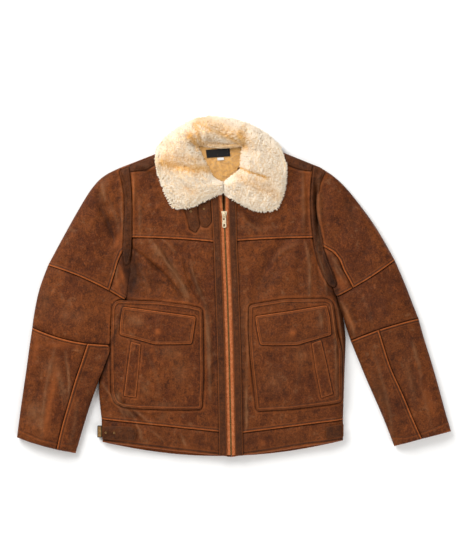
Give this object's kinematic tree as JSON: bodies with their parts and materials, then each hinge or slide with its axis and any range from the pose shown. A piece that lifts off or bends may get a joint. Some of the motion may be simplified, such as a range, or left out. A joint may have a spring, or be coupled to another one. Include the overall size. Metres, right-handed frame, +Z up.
{
  "type": "shearling coat",
  "caption": "Hip-length aviator-style shearling coat laid flat and zipped: leather panels, fleece collar folded out, flap pockets, strapped hem.",
  "frame": {"origin": "on the surface the coat lies on, at the middle of its outline seen from above", "axes": "+X towards the wearer's left, +Y towards the collar, +Z up from the surface"},
  "size_m": [0.9745, 0.7654, 0.0519],
  "materials": {
    "leather": "distressed, rubbed at the seams",
    "dark_leather": "satin",
    "fleece": "deep cream fleece, golden at the roots",
    "lining_fleece": "short golden fleece",
    "zip_tape": "woven",
    "antique_brass": "antiqued",
    "pale_brass": "polished",
    "label": "plain woven",
    "size_tag": "plain woven"
  },
  "bodies": {
    "coat": {"armhole_strap_left": "dark_leather", "armhole_strap_right": "dark_leather", "back_hem_band": "leather", "back_lining": "lining_fleece", "back_panel": "leather", "collar": "fleece", "forearm_inner_left": "leather", "forearm_inner_right": "leather", "forearm_outer_left": "leather", "forearm_outer_right": "leather", "front_left": "leather", "front_right": "leather", "hem_band_left": "leather", "hem_band_right": "leather", "hem_tab_left": "dark_leather", "hem_tab_right": "dark_leather", "neck_label": "label", "placket_strip_left": "dark_leather", "placket_strip_right": "dark_leather", "pocket_flap_left": "leather", "pocket_flap_right": "leather", "pocket_left": "leather", "pocket_right": "leather", "pocket_welt_left": "leather", "pocket_welt_right": "leather", "shoulder_strip_left": "dark_leather", "shoulder_strip_right": "dark_leather", "side_buckle": "antique_brass", "size_tag": "size_tag", "sleeve_back_left": "leather", "sleeve_back_right": "leather", "sleeve_gusset_left": "leather", "sleeve_gusset_right": "leather", "sleeve_middle_left": "leather", "sleeve_middle_right": "leather", "sleeve_upper_left": "leather", "sleeve_upper_right": "leather", "throat_tab_long": "dark_leather", "throat_tab_short": "dark_leather", "yoke_left": "leather", "yoke_right": "leather", "zip_chain": "antique_brass", "zip_half_left": "antique_brass", "zip_half_right": "antique_brass", "zip_slider": "pale_brass", "zip_tape_left": "zip_tape", "zip_tape_right": "zip_tape"},
    "zip_pull": {"zip_pull": "pale_brass"}
  },
  "joints": [
    {"name": "zip_pull_hinge", "type": "hinge", "parent": "coat", "child": "zip_pull", "pos_m": [-0.02208, 0.16, 0.0279], "axis": [-1, 0, 0], "range_deg": [0, 165]}
  ]
}
